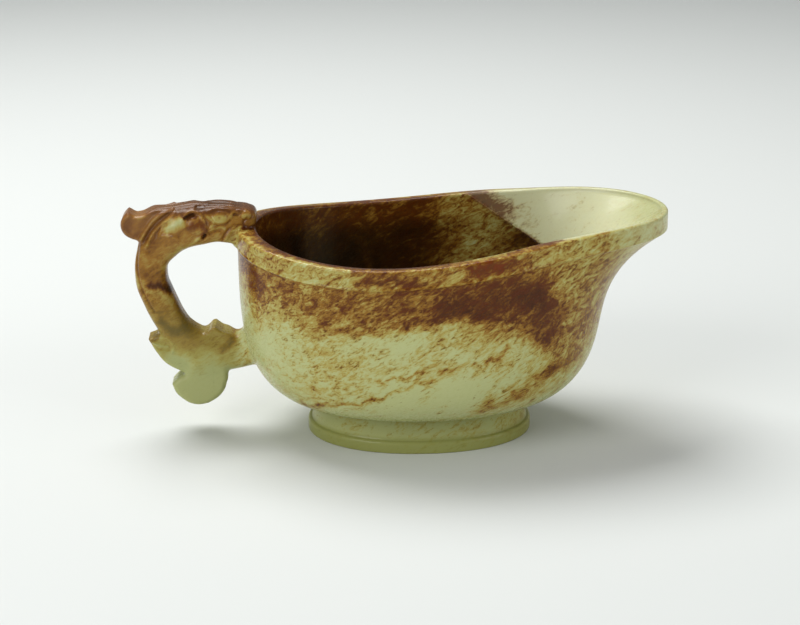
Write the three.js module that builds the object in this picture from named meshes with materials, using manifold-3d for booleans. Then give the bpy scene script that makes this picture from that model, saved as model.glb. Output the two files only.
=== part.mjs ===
// A carved jade pouring vessel: an oval bowl with a flared spout, a low foot ring and a dragon handle.
// Millimetres, +Z up, spout towards +X, handle towards -X. Shapes are drawn from the foot's centre,
// and the finished group is moved so that its origin lies under the middle of its length.
import * as THREE from "three";
import { mergeVertices } from "three/addons/utils/BufferGeometryUtils.js";
import Module from "manifold-3d";

// Bowl
const bowlBack = 55.4; // foot centre to the wall's outside at the handle end
const bowlFront = 56.8; // the same under the spout, before the flare
const bowlHalfWidth = 43.5;
const bowlSquareness = 2.12; // exponent of the oval: 2 is an ellipse
const rimLow = 62.1; // height of the rim at its lowest
const rimLowX = -18.5; // where along the length that is
const spoutRise = 7.6; // the rim climbs this much towards the spout
const spoutRiseEnd = 70;
const handleRise = 3.55; // and this much towards the handle
const wallThickness = 4;
const handleEndThickening = 1.6;
const floorThickness = 4.5;
const wallFullness = 4.45; // how soon the wall stands upright, from the foot up
const spoutFullness = 0.1; // the spout end is fuller by this, and the handle end less so
const wallTurn = 1.95; // how flat the bowl's underside runs out over the foot

// Spout
const spoutReach = 19.3; // how far the flare carries the lip past the bowl
const spoutHalfAngle = THREE.MathUtils.degToRad(52);
const spoutTaper = 2.4; // how quickly the spout narrows to its tip
const flareStart = 30; // height at which the wall begins to lean out
const flarePower = 3.1;
const lipThinning = 1.3;
const lipEdge = 1;

// Rim band
const bandHeight = 5.7;
const bandProud = 0.55;
const rimRound = 0.8;

// Foot ring
const footHalfLength = 34.8;
const footHalfWidth = 26.8;
const footSquareness = 2.12;
const footHeight = 10.7;
const footBand = 3.8; // the upright band at the foot's base
const footInset = 1.95; // the tall cove above it draws in this much
const footRingWidth = 5;
const footChamfer = 0.5;

// Handle
const jointGap = 2.4; // the handle's root stands this far off the wall
const seatAboveRim = 0.1; // the dragon's chin rests this far above the rim
const handleReach = 31.4; // wall to the outside of the grip's bend
const gripThickness = 9.8;
const handleDepth = 11.6;
const headLength = 22.2;
const headHeight = 11.7;
const headWidth = 14;
const snoutWidth = 11;
const headCrown = 6.7; // the head's top above the chin
const snoutOverhang = 5.9; // how far the snout reaches in over the rim
const tailHeight = 25.7; // height of the lower root's middle
const tailThickness = 11.6;
const rootFillet = 2.6;
const sectionSquareness = 2.8; // exponent of the handle's sections
const maneDepth = 8.4;
const maneReach = 3.7; // the curled tuft past the grip's bend
const maneCurl = 4.2; // radius of the curl
const leafDepth = 8.6;
const leafLength = 12;
const lobeDepth = 9.6;
const lobeRadius = 7.2;

// Fineness
const anglesRound = 72;
const wallRows = 13;
const sectionSides = 20;
const sweepSteps = 32;
const outlineSteps = 8;
const coveSteps = 3;
const beadSteps = 3;
const beadSides = 5;

const wasm = await Module();
wasm.setup();

// Helpers

function signedPower(value, power) {
  return Math.sign(value) * Math.abs(value) ** power;
}

// Polar radius of an oval whose two ends may have different lengths.
function ovalRadius(theta, front, back, side, squareness) {
  const along = Math.cos(theta) > 0 ? front : back;
  const sum =
    Math.abs(Math.cos(theta) / along) ** squareness +
    Math.abs(Math.sin(theta) / side) ** squareness;
  return sum ** (-1 / squareness);
}

// A closed body through rings of points with as many points each. Its ends are fans,
// or the last ring joins the first where the body closes on itself.
function loft(rings, closesOnItself = false) {
  const count = rings[0].length;
  const positions = rings.flat().flatMap((point) => point.toArray());
  const index = [];
  const spans = closesOnItself ? rings.length : rings.length - 1;
  for (let row = 0; row < spans; row++) {
    const next = (row + 1) % rings.length;
    for (let i = 0; i < count; i++) {
      const j = (i + 1) % count;
      index.push(row * count + i, row * count + j, next * count + j);
      index.push(row * count + i, next * count + j, next * count + i);
    }
  }
  if (!closesOnItself) {
    for (const row of [0, rings.length - 1]) {
      const centre = rings[row]
        .reduce((sum, point) => sum.add(point), new THREE.Vector3())
        .divideScalar(count);
      const hub = positions.length / 3;
      positions.push(...centre.toArray());
      for (let i = 0; i < count; i++) {
        const a = row * count + i;
        const b = row * count + ((i + 1) % count);
        index.push(...(row === 0 ? [hub, b, a] : [hub, a, b]));
      }
    }
  }
  const geometry = new THREE.BufferGeometry();
  geometry.setAttribute("position", new THREE.Float32BufferAttribute(positions, 3));
  geometry.setIndex(index);
  return geometry;
}

function toSolid(geometry) {
  const bare = geometry.clone();
  bare.deleteAttribute("normal");
  bare.deleteAttribute("uv");
  const merged = mergeVertices(bare, 1e-5);
  return new wasm.Manifold(
    new wasm.Mesh({
      numProp: 3,
      vertProperties: new Float32Array(merged.attributes.position.array),
      triVerts: new Uint32Array(merged.index.array),
    }),
  );
}

function toMesh(name, solid, material) {
  const result = solid.getMesh();
  const geometry = new THREE.BufferGeometry();
  geometry.setAttribute("position", new THREE.BufferAttribute(result.vertProperties, 3));
  geometry.setIndex(new THREE.BufferAttribute(result.triVerts, 1));
  geometry.computeVertexNormals();
  const mesh = new THREE.Mesh(geometry, material);
  mesh.name = name;
  return mesh;
}

// Splits a solid at a plane square to the XZ plane: [the side the normal points to, the other].
function splitAt(solid, point, normal) {
  const unit = normal.clone().normalize();
  return solid.splitByPlane([unit.x, 0, unit.y], point.dot(unit));
}

// A body swept in the XZ plane. Each station holds its place and its own section:
// x, z, half its thickness in the plane and half its depth along Y.
function sweep(stations, steps, sides = sectionSides) {
  const path = new THREE.CatmullRomCurve3(stations.map((s) => new THREE.Vector3(s.x, 0, s.z)));
  const size = new THREE.CatmullRomCurve3(
    stations.map((s) => new THREE.Vector3(s.thick, s.deep, 0)),
  );
  const rings = [];
  for (let step = 0; step <= steps; step++) {
    const t = step / steps;
    const centre = path.getPoint(t);
    const along = path.getTangent(t);
    const outward = new THREE.Vector3(along.z, 0, -along.x);
    const section = size.getPoint(t);
    const ring = [];
    for (let i = 0; i < sides; i++) {
      const turn = (2 * Math.PI * i) / sides;
      const across = section.x * signedPower(Math.cos(turn), 2 / sectionSquareness);
      const depth = section.y * signedPower(Math.sin(turn), 2 / sectionSquareness);
      ring.push(
        centre.clone().addScaledVector(outward, across).add(new THREE.Vector3(0, depth, 0)),
      );
    }
    rings.push(ring);
  }
  return loft(rings);
}

// The outline's points moved in by a distance, square to its edge.
// A sharp tip moves in no further than two and a half times that.
function insetOutline(points, distance) {
  return points.map((point, i) => {
    const before = points[(i + points.length - 1) % points.length];
    const after = points[(i + 1) % points.length];
    const arriving = point.clone().sub(before).normalize();
    const leaving = after.clone().sub(point).normalize();
    const inward = new THREE.Vector2(-arriving.y - leaving.y, arriving.x + leaving.x).normalize();
    const spread = Math.max(0.4, inward.x * -arriving.y + inward.y * arriving.x);
    return point.clone().addScaledVector(inward, distance / spread);
  });
}

// A flat carved member: an outline in the XZ plane, drawn anticlockwise,
// with rounded edges and its middle on y = 0.
function slab(outline, depth, round) {
  const points = outline.getPoints(outlineSteps);
  if (points[0].distanceTo(points[points.length - 1]) < 1e-6) points.pop();
  const quarter = [0, 0.35, 0.7, 1].map((share) => (Math.PI / 2) * share);
  const profile = [
    ...quarter.map((turn) => [1 - Math.sin(turn), -depth / 2 + round * (1 - Math.cos(turn))]),
    ...quarter
      .reverse()
      .map((turn) => [1 - Math.sin(turn), depth / 2 - round * (1 - Math.cos(turn))]),
  ];
  const positions = [];
  for (const [share, y] of profile) {
    for (const point of insetOutline(points, share * round)) positions.push(point.x, y, point.y);
  }
  const count = points.length;
  const index = [];
  for (let row = 0; row < profile.length - 1; row++) {
    for (let i = 0; i < count; i++) {
      const j = (i + 1) % count;
      const here = row * count;
      const next = here + count;
      index.push(here + i, next + j, here + j, here + i, next + i, next + j);
    }
  }
  const last = (profile.length - 1) * count;
  for (const [p, q, r] of THREE.ShapeUtils.triangulateShape(points, [])) {
    index.push(p, q, r, last + p, last + r, last + q);
  }
  const geometry = new THREE.BufferGeometry();
  geometry.setAttribute("position", new THREE.Float32BufferAttribute(positions, 3));
  geometry.setIndex(index);
  return geometry;
}

// A carved line: a thin bead along a smooth curve through a few points, tapered at its ends.
function bead(points, radius) {
  const route = new THREE.CatmullRomCurve3(points);
  const steps = beadSteps * (points.length - 1);
  const { normals, binormals } = route.computeFrenetFrames(steps);
  const rings = [];
  for (let step = 0; step <= steps; step++) {
    const thick = radius * Math.max(0.25, Math.sqrt(Math.sin((Math.PI * step) / steps)));
    const ring = [];
    for (let i = 0; i < beadSides; i++) {
      const turn = (2 * Math.PI * i) / beadSides;
      ring.push(
        route
          .getPoint(step / steps)
          .addScaledVector(normals[step], thick * Math.cos(turn))
          .addScaledVector(binormals[step], thick * Math.sin(turn)),
      );
    }
    rings.push(ring);
  }
  return loft(rings);
}

function boss(place, across, deep, tall) {
  const geometry = new THREE.SphereGeometry(1, 12, 8);
  geometry.scale(across, deep, tall);
  geometry.translate(...place.toArray());
  return geometry;
}

// Bowl

function rimHeight(x) {
  const climb = THREE.MathUtils.smoothstep(x, rimLowX, spoutRiseEnd);
  const back = Math.max(0, rimLowX - x) / (rimLowX + bowlBack);
  return rimLow + spoutRise * climb + handleRise * back ** 2;
}

function spoutShare(theta) {
  const turn = Math.abs(Math.atan2(Math.sin(theta), Math.cos(theta)));
  return turn < spoutHalfAngle ? Math.cos((turn / spoutHalfAngle) * (Math.PI / 2)) ** spoutTaper : 0;
}

function handleShare(theta) {
  return Math.max(0, -Math.cos(theta)) ** 8;
}

function footRadius(theta) {
  return ovalRadius(theta, footHalfLength, footHalfLength, footHalfWidth, footSquareness);
}

function neckRadius(theta) {
  return footRadius(theta) - footInset;
}

function bowlRadius(theta) {
  return ovalRadius(theta, bowlFront, bowlBack, bowlHalfWidth, bowlSquareness);
}

function rimTop(theta) {
  const reach = bowlRadius(theta) + spoutReach * spoutShare(theta);
  return rimHeight(reach * Math.cos(theta));
}

// The wall's outside at one height, with the flare left to run on above the band.
function wallRadius(theta, z) {
  const top = rimTop(theta);
  const rise = THREE.MathUtils.clamp((z - footHeight) / (top - footHeight), 0, 1);
  const fullness = wallFullness + spoutFullness * Math.cos(theta) * Math.abs(Math.cos(theta));
  const fill = (1 - (1 - rise) ** fullness) ** (1 / wallTurn);
  const lean = Math.max(0, z - flareStart) / (top - bandHeight - flareStart);
  const neck = neckRadius(theta);
  const flare = spoutReach * spoutShare(theta) * lean ** flarePower;
  return neck + (bowlRadius(theta) - neck) * fill + flare;
}

// The inner wall is the outer one moved in and up, thinner towards the lip.
function cavityRadius(theta, z) {
  const inward =
    wallThickness - lipThinning * spoutShare(theta) + handleEndThickening * handleShare(theta);
  return wallRadius(theta, z - floorThickness) - inward;
}

function bandRadius(theta) {
  return wallRadius(theta, rimTop(theta) - bandHeight);
}

function ringAt(radiusAt, heightAt) {
  const ring = [];
  for (let i = 0; i < anglesRound; i++) {
    const theta = (2 * Math.PI * i) / anglesRound;
    const radius = radiusAt(theta);
    ring.push(
      new THREE.Vector3(radius * Math.cos(theta), radius * Math.sin(theta), heightAt(theta)),
    );
  }
  return ring;
}

function rowShare(row) {
  return (row / wallRows) ** 1.9;
}

function bowlSolid() {
  const rings = [ringAt((theta) => neckRadius(theta) / 2, () => footHeight)];
  for (let row = 0; row < wallRows; row++) {
    const height = (theta) =>
      footHeight + (rimTop(theta) - bandHeight - footHeight) * rowShare(row);
    rings.push(ringAt((theta) => wallRadius(theta, height(theta)), height));
  }
  // The band: a step out, an upright face and a rounded top edge.
  const proud = (theta) => bandProud * (1 - spoutShare(theta));
  const bandPoints = [
    [0, bandHeight + bandProud],
    [1, bandHeight],
    [0.8, bandHeight / 2],
    [0.6, rimRound],
  ];
  for (const [share, below] of bandPoints) {
    rings.push(
      ringAt(
        (theta) => bandRadius(theta) + share * proud(theta),
        (theta) => rimTop(theta) - below,
      ),
    );
  }
  const inner = (theta, z) =>
    Math.min(cavityRadius(theta, z), bandRadius(theta) - lipEdge - rimRound);
  rings.push(ringAt((theta) => bandRadius(theta) - rimRound / 2, rimTop));
  rings.push(ringAt((theta) => inner(theta, rimTop(theta)) + rimRound / 2, rimTop));
  for (let row = wallRows; row > 0; row--) {
    const low = footHeight + floorThickness;
    const height = (theta) => low + (rimTop(theta) - rimRound - low) * rowShare(row);
    rings.push(ringAt((theta) => inner(theta, height(theta)), height));
  }
  rings.push(ringAt((theta) => neckRadius(theta) / 2, () => footHeight + floorThickness));
  return toSolid(loft(rings));
}

// What is hollowed out of the handle's roots, so that they end inside the wall.
function cavityPlug() {
  const low = footHeight + floorThickness / 2;
  const rings = [];
  for (let row = 0; row <= wallRows; row++) {
    const height = (theta) => low + (rimTop(theta) + rimRound - low) * rowShare(row);
    rings.push(ringAt((theta) => cavityRadius(theta, height(theta)) + wallThickness / 4, height));
  }
  return toSolid(loft(rings));
}

// Foot ring

function footSolid() {
  const cove = [];
  for (let step = 1; step <= coveSteps; step++) {
    const turn = ((Math.PI / 2) * step) / coveSteps;
    const rise = footHeight - (footHeight - footBand) * Math.cos(turn);
    cove.push([footInset * Math.sin(turn), rise]);
  }
  const section = [
    [footChamfer, 0],
    [0, footChamfer],
    [0, footBand - footChamfer],
    [footChamfer, footBand],
    ...cove,
    [footRingWidth, footHeight],
    [footRingWidth, footChamfer],
    [footRingWidth - footChamfer, 0],
  ];
  const rings = section.map(([inset, z]) => ringAt((theta) => footRadius(theta) - inset, () => z));
  return toSolid(loft(rings, true));
}

// Handle: the dragon bites the rim, its neck and body are the grip, and its parted tail
// is the lower root.

const seatHeight = rimHeight(-bowlBack) + seatAboveRim;
const jointX = -(bowlBack + jointGap);
const bendX = -(bowlBack + handleReach) + gripThickness / 2;
const headMiddle = seatHeight + headCrown - headHeight / 2;
const headFrontX = -bowlBack + snoutOverhang;
const headBackX = headFrontX - headLength;

// The grip's middle line, as shares of the way out from the joint to the bend
// and down from the head to the tail.
function gripPoint(outShare, downShare) {
  return {
    x: THREE.MathUtils.lerp(jointX, bendX, outShare),
    z: THREE.MathUtils.lerp(headMiddle, tailHeight, downShare),
  };
}

// Half the head's width, from the narrow snout back to the cheeks.
function headHalfWidth(x) {
  const share = THREE.MathUtils.smoothstep((headFrontX - x) / headLength, 0.1, 0.7);
  return THREE.MathUtils.lerp(snoutWidth, headWidth, share) / 2;
}

// A point on the head's side: share of its length from the snout back, and height over
// the seat as a share of the crown. Side is -1 or 1, and 0 is the middle.
function onHead(back, up, side) {
  const x = headFrontX - headLength * back;
  return new THREE.Vector3(x, side * headHalfWidth(x), seatHeight + headCrown * up);
}

// The head in profile: a straight jaw, an upright snout and a low domed crown.
function headSolid() {
  const bottom = seatHeight + headCrown - headHeight;
  const inNeck = headHeight / 4;
  const at = (back, up) => {
    const { x, z } = onHead(back, up, 0);
    return [x, z];
  };
  const outline = new THREE.Shape();
  outline.moveTo(headBackX - inNeck / 2, bottom + inNeck);
  outline.quadraticCurveTo(headBackX, bottom, headBackX + inNeck, bottom);
  outline.lineTo(headFrontX - snoutOverhang / 2, bottom);
  outline.quadraticCurveTo(...at(0, 0), ...at(0, 0.45));
  outline.quadraticCurveTo(...at(0, 0.9), ...at(0.14, 0.93));
  outline.quadraticCurveTo(...at(0.5, 1.09), ...at(1, 0.91));
  outline.quadraticCurveTo(...at(1.1, 0.86), headBackX - inNeck, seatHeight + headCrown / 3);
  const geometry = slab(outline, headWidth, headHeight / 7);
  const place = geometry.attributes.position;
  for (let i = 0; i < place.count; i++) {
    place.setY(i, (place.getY(i) * headHalfWidth(place.getX(i))) / (headWidth / 2));
  }
  return toSolid(geometry);
}

function handleSweep() {
  const half = gripThickness / 2;
  const deep = handleDepth / 2;
  const tail = tailThickness / 2;
  const stations = [
    { ...gripPoint(0.42, 0.01), thick: 0.42 * headHeight, deep: 0.42 * headWidth },
    { ...gripPoint(0.62, 0.05), thick: 0.44 * headHeight, deep: 0.44 * headWidth },
    { ...gripPoint(0.8, 0.125), thick: half * 1.16, deep: deep * 1.06 },
    { ...gripPoint(0.93, 0.21), thick: half * 1.1, deep: deep * 1.02 },
    { ...gripPoint(0.99, 0.3), thick: half * 1.02, deep },
    { ...gripPoint(1, 0.39), thick: half, deep },
    { ...gripPoint(0.984, 0.47), thick: half, deep },
    { ...gripPoint(0.934, 0.55), thick: half, deep },
    { ...gripPoint(0.865, 0.648), thick: half, deep },
    { ...gripPoint(0.786, 0.744), thick: half * 0.97, deep },
    { ...gripPoint(0.683, 0.84), thick: half, deep },
    { ...gripPoint(0.53, 0.925), thick: half * 1.1, deep },
    { ...gripPoint(0.34, 0.985), thick: tail, deep },
    { ...gripPoint(0.15, 1), thick: tail, deep },
    { x: jointX, z: tailHeight, thick: tail, deep },
    { x: jointX + 2 * jointGap, z: tailHeight, thick: tail, deep },
  ];
  return toSolid(sweep(stations, sweepSteps));
}

// Carved forms of one side, and the same ones on the other.
function onBothSides(forms) {
  const solids = forms.map(toSolid);
  return [...solids, ...solids.map((solid) => solid.mirror([0, 1, 0]))];
}

// Brows, eyes, lips, jaws, cheek curls, ears and nostrils on both sides, and the crest.
function headCarving() {
  const line = headHeight / 14;
  const at = (back, up) => onHead(back, up, 1);
  const crest = bead([onHead(0.12, 0.86, 0), onHead(0.5, 0.95, 0), onHead(0.97, 0.86, 0)], line);
  return [
    toSolid(crest),
    ...onBothSides([
      bead([at(0.26, 0.48), at(0.38, 0.74), at(0.54, 0.8), at(0.68, 0.6)], line),
      bead([at(0.06, 0.18), at(0.2, 0.28), at(0.36, 0.2), at(0.5, 0.02)], line),
      bead([at(0.42, -0.22), at(0.56, -0.4), at(0.72, -0.42), at(0.9, -0.2)], line),
      bead([at(0.6, 0.3), at(0.66, 0.02), at(0.8, 0.02), at(0.84, 0.28)], line),
      bead([at(0.72, 0.52), at(0.84, 0.7), at(0.98, 0.66)], 1.5 * line),
      boss(at(0.47, 0.44), 1.7 * line, 1.1 * line, 1.3 * line),
      boss(at(0.14, 0.62), 1.5 * line, line, 1.3 * line),
      boss(at(0.76, 0.22), 1.6 * line, line, 1.7 * line),
    ]),
  ];
}

// The tuft sweeps back from the crown and ends in a curl past the grip's bend.
function maneSolids() {
  const crown = seatHeight + headCrown;
  const curlX = bendX - gripThickness / 2 - maneReach + maneCurl;
  const curl = new THREE.Vector2(curlX, crown - 1.5 * maneCurl);
  const root = new THREE.Vector2(headBackX + 0.6 * maneCurl, crown - 0.2 * maneCurl);
  const outline = new THREE.Shape();
  outline.moveTo(root.x, root.y);
  const dip = new THREE.Vector2(curl.x + 0.4 * maneCurl, curl.y + 0.75 * maneCurl);
  outline.quadraticCurveTo((root.x + dip.x) / 2, crown - 0.1 * maneCurl, dip.x, dip.y);
  outline.lineTo(curl.x - 0.42 * maneCurl, curl.y + 1.08 * maneCurl);
  outline.absarc(curl.x, curl.y, maneCurl, 0.8 * Math.PI, 1.4 * Math.PI, false);
  outline.quadraticCurveTo(curl.x + maneCurl, curl.y - 0.9 * maneCurl, bendX, curl.y - maneCurl);
  outline.lineTo(root.x, curl.y);
  // Flutes fan out from the crown over each side.
  const flutes = [];
  const top = new THREE.Vector2(root.x - 0.2 * maneCurl, crown - 0.36 * maneCurl);
  for (const [share, drop] of [[1, 0], [0.62, 0.56], [0.3, 0.95]]) {
    const endX = THREE.MathUtils.lerp(bendX, curl.x, share);
    const points = [
      new THREE.Vector3(top.x, 0.46 * maneDepth, top.y),
      new THREE.Vector3((top.x + endX) / 2, maneDepth / 2, top.y - (0.26 + drop / 2) * maneCurl),
      new THREE.Vector3(endX, 0.46 * maneDepth, curl.y - drop * maneCurl),
    ];
    flutes.push(bead(points, maneCurl / 5));
  }
  return [toSolid(slab(outline, maneDepth, maneDepth / 6)), ...onBothSides(flutes)];
}

// Where the tail parts: the notch between the leaf and the lobe, and the leaf's upper root.
const tailBase = tailHeight - tailThickness / 2;
const notch = new THREE.Vector2(jointX - 1.94 * lobeRadius, tailBase - 0.16 * lobeRadius);
const leafRoot = new THREE.Vector2(notch.x - 0.67 * leafLength, notch.y + 1.12 * leafLength);

function leafSolid() {
  const tip = new THREE.Vector2(notch.x - 0.94 * leafLength, notch.y + 0.98 * leafLength);
  const outline = new THREE.Shape();
  outline.moveTo(leafRoot.x, leafRoot.y - 0.03 * leafLength);
  outline.quadraticCurveTo(tip.x + 0.18 * leafLength, tip.y + 0.12 * leafLength, tip.x, tip.y);
  outline.quadraticCurveTo(tip.x + 0.25 * leafLength, notch.y + 0.22 * leafLength, notch.x, notch.y);
  outline.lineTo(notch.x + 0.42 * leafLength, notch.y + 0.3 * leafLength);
  outline.lineTo(notch.x + 0.2 * leafLength, notch.y + 0.9 * leafLength);
  return toSolid(slab(outline, leafDepth, leafDepth / 4));
}

function lobeSolid() {
  const centre = new THREE.Vector2(jointX - 1.26 * lobeRadius, tailBase - lobeRadius / 2);
  const tip = new THREE.Vector2(notch.x - 0.62 * lobeRadius, notch.y - 0.4 * lobeRadius);
  const outline = new THREE.Shape();
  outline.moveTo(notch.x + 0.3 * lobeRadius, notch.y + 0.42 * lobeRadius);
  outline.quadraticCurveTo(notch.x - 0.08 * lobeRadius, notch.y - 0.12 * lobeRadius, tip.x, tip.y);
  const start = -0.78 * Math.PI;
  const low = new THREE.Vector2(Math.cos(start), Math.sin(start)).multiplyScalar(lobeRadius);
  outline.quadraticCurveTo(
    tip.x - 0.05 * lobeRadius,
    tip.y - 0.45 * lobeRadius,
    centre.x + low.x,
    centre.y + low.y,
  );
  outline.absarc(centre.x, centre.y, lobeRadius, start, 0, false);
  outline.lineTo(centre.x + 0.86 * lobeRadius, tailHeight);
  outline.lineTo(notch.x + 0.3 * lobeRadius, tailHeight);
  return toSolid(slab(outline, lobeDepth, lobeDepth / 5));
}

// The low peak on the bracket's top edge, inside the finger loop.
function peakSolid() {
  const rise = tailThickness / 6;
  const x = jointX - 0.5 * tailThickness;
  const top = tailHeight + tailThickness / 2;
  const outline = new THREE.Shape();
  outline.moveTo(x - 5 * rise, top - 2 * rise);
  outline.lineTo(x + 4 * rise, top - 2 * rise);
  outline.quadraticCurveTo(x + 1.5 * rise, top - 0.3 * rise, x + 0.5 * rise, top + 0.8 * rise);
  outline.lineTo(x - 0.5 * rise, top + 0.8 * rise);
  outline.quadraticCurveTo(x - 1.5 * rise, top - 0.3 * rise, x - 5 * rise, top - 2 * rise);
  return toSolid(slab(outline, 0.84 * handleDepth, 0.6 * rise));
}

// The handle's two roots on the bowl, filleted into the wall.
function rootSolids() {
  const deep = handleDepth / 2;
  const wide = headHalfWidth(jointX);
  const rootAt = (height, thick, depth, inside) => {
    const stations = [{ x: jointX, z: height, thick, deep: depth }];
    for (let step = 1; step <= 4; step++) {
      const turn = (Math.PI / 2) * (step / 4);
      const spread = rootFillet * (1 - Math.cos(turn));
      stations.push({
        x: jointX + 2 * jointGap * Math.sin(turn),
        z: height,
        thick: thick + spread,
        deep: depth + spread,
      });
    }
    const last = stations[stations.length - 1];
    stations.push({ ...last, x: last.x + inside });
    return toSolid(sweep(stations, 12));
  };
  const [, upper] = rootAt(headMiddle, headHeight / 2, wide, wallThickness / 2).splitByPlane(
    [0, 0, 1],
    seatHeight,
  );
  const lower = rootAt(tailHeight, tailThickness / 2, deep, 2 * wallThickness);
  const plug = cavityPlug();
  return [upper.subtract(plug), lower.subtract(plug)];
}

// Everything of the handle on the bowl's side of its joint is cut away.
function jointCut() {
  const far = bowlBack + bowlFront;
  const box = new THREE.BoxGeometry(far, far, seatHeight);
  box.translate(jointX + far / 2, 0, seatHeight / 2);
  return toSolid(box);
}

function union(solids) {
  return solids.reduce((sum, solid) => sum.add(solid));
}

function handleSolids() {
  const whole = union([
    handleSweep(),
    headSolid(),
    ...headCarving(),
    ...maneSolids(),
    leafSolid(),
    lobeSolid(),
    peakSolid(),
  ]).subtract(jointCut());
  // The grip is parted at the dark band of stain round it.
  const stain = gripPoint(0.97, 0.465);
  const [upper, lower] = splitAt(
    whole,
    new THREE.Vector2(stain.x, stain.z),
    new THREE.Vector2(0.35, 1),
  );
  const [head, behind] = splitAt(
    upper,
    new THREE.Vector2(headBackX, headMiddle),
    new THREE.Vector2(1, 0),
  );
  // The tuft parts from the neck along a line from the bend's back up to the crown.
  const maneFoot = new THREE.Vector2(bendX - gripThickness / 2, headMiddle - headHeight / 2);
  const maneHead = new THREE.Vector2(headBackX, seatHeight + 0.8 * headCrown);
  const alongMane = maneHead.clone().sub(maneFoot);
  const [mane, neck] = splitAt(behind, maneFoot, new THREE.Vector2(-alongMane.y, alongMane.x));
  const [aboveNotch, lobe] = splitAt(lower, notch, new THREE.Vector2(0, 1));
  // A cut across the grip, just over the leaf's tip, and one along the leaf's root.
  const [tail, body] = splitAt(aboveNotch, leafRoot, new THREE.Vector2(0.3, -1));
  const inGrip = leafLength / 12;
  const downLeaf = notch.clone().sub(leafRoot);
  const [leaf, bracket] = splitAt(
    tail,
    new THREE.Vector2(notch.x + inGrip, notch.y),
    new THREE.Vector2(downLeaf.y, -downLeaf.x),
  );
  return { head, mane, neck, body, bracket, leaf, lobe };
}

// Materials: one stone, stained russet above and pale below.

function jade(color, roughness) {
  return new THREE.MeshStandardMaterial({ color, roughness, metalness: 0 });
}

const celadonJade = jade(0xb3ab72, 0.22);
const oliveJade = jade(0x8c8c55, 0.26);
const russetJade = jade(0x9a6844, 0.24);
const paleJade = jade(0xaaa47c, 0.24);

// Assembly

function buildVessel() {
  const vessel = new THREE.Group();
  vessel.add(toMesh("bowl", union([bowlSolid(), ...rootSolids()]), celadonJade));
  vessel.add(toMesh("foot_ring", footSolid(), oliveJade));
  const handle = handleSolids();
  vessel.add(toMesh("dragon_head", handle.head, russetJade));
  vessel.add(toMesh("dragon_mane", handle.mane, russetJade));
  vessel.add(toMesh("dragon_neck", handle.neck, russetJade));
  vessel.add(toMesh("dragon_body", handle.body, paleJade));
  vessel.add(toMesh("tail_bracket", handle.bracket, paleJade));
  vessel.add(toMesh("tail_leaf", handle.leaf, paleJade));
  vessel.add(toMesh("tail_lobe", handle.lobe, paleJade));
  const box = new THREE.Box3().setFromObject(vessel);
  vessel.position.x = -(box.min.x + box.max.x) / 2;
  return vessel;
}

export default buildVessel();
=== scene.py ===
import math

import bmesh
import bpy
import numpy as np
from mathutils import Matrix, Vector


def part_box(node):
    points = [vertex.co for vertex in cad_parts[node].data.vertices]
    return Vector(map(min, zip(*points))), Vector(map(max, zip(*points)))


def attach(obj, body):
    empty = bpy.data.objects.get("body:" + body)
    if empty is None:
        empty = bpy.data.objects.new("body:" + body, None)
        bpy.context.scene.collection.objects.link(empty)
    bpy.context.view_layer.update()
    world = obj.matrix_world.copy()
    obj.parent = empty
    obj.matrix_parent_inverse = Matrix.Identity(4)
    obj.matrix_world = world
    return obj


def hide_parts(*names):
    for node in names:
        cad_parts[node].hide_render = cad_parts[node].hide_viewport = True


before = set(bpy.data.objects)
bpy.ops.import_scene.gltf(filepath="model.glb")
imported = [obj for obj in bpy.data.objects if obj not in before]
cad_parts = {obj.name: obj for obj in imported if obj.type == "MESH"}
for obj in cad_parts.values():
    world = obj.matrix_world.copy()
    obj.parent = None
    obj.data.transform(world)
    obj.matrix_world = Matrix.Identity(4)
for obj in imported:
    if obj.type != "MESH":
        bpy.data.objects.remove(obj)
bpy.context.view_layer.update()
foot_low, foot_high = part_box("foot_ring")
foot_centre_x = (foot_low.x + foot_high.x) / 2
MM = 0.001

# Bowl
bowl_back = 55.4
bowl_front = 56.8
bowl_half_width = 43.5
bowl_squareness = 2.12
rim_low = 62.1
rim_low_x = -18.5
spout_rise = 7.6
spout_rise_end = 70
handle_rise = 3.55
wall_thickness = 4
handle_end_thickening = 1.6
handle_end_power = 8
floor_thickness = 4.5
wall_fullness = 4.45
spout_fullness = 0.1
wall_turn = 1.95

# Spout
spout_reach = 19.3
spout_half_angle = math.radians(52)
spout_taper = 2.4
flare_start = 30
flare_power = 3.1
lip_thinning = 1.3
lip_edge = 1

# Rim band
band_height = 5.7
band_proud = 0.55
band_face_share = 0.62
band_line_share = 0.37
band_line_width = 0.42
band_margin = 1.2
rim_round = 0.8

# Foot ring
foot_half_length = 34.8
foot_half_width = 26.8
foot_squareness = 2.12
foot_height = 10.7
foot_band = 3.8
foot_inset = 1.95
foot_ring_width = 5
foot_round = 0.45
ledge_round = 1

# Handle
joint_gap = 2.4
seat_above_rim = 0.1
handle_reach = 31.4
grip_thickness = 9.8
handle_depth = 11.6
head_length = 22.2
head_height = 11.7
head_width = 14
head_edge = 2.2
snout_width = 11
head_crown = 6.7
crown_dome = 0.9
snout_overhang = 5.9
tail_height = 25.7
tail_thickness = 11.6
mane_depth = 8.4
leaf_depth = 8.6
lobe_depth = 9.6
peak_depth = 10
root_fillet = 3.4
corner_fillet = 4.5
rim_fillet = 1.2

# Fineness
angles_round = 448
wall_rows = 96
row_crowding = 1.7
band_rows = 44
round_steps = 7
foot_round_steps = 5
cove_steps = 14
outline_steps = 6
carving_steps = 4
mark_steps = 3

# Grid round the handle, a little larger than it is
grid_step = 0.27
grid_back = -95
grid_front = -46
grid_half_depth = 13
grid_low = 6
grid_high = 77
settling_rounds = 3

# How deep the handle's roots stay inside the wall, and how far under its face they pass
skirt_depth = 1.3
skirt_sink = 0.03

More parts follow.
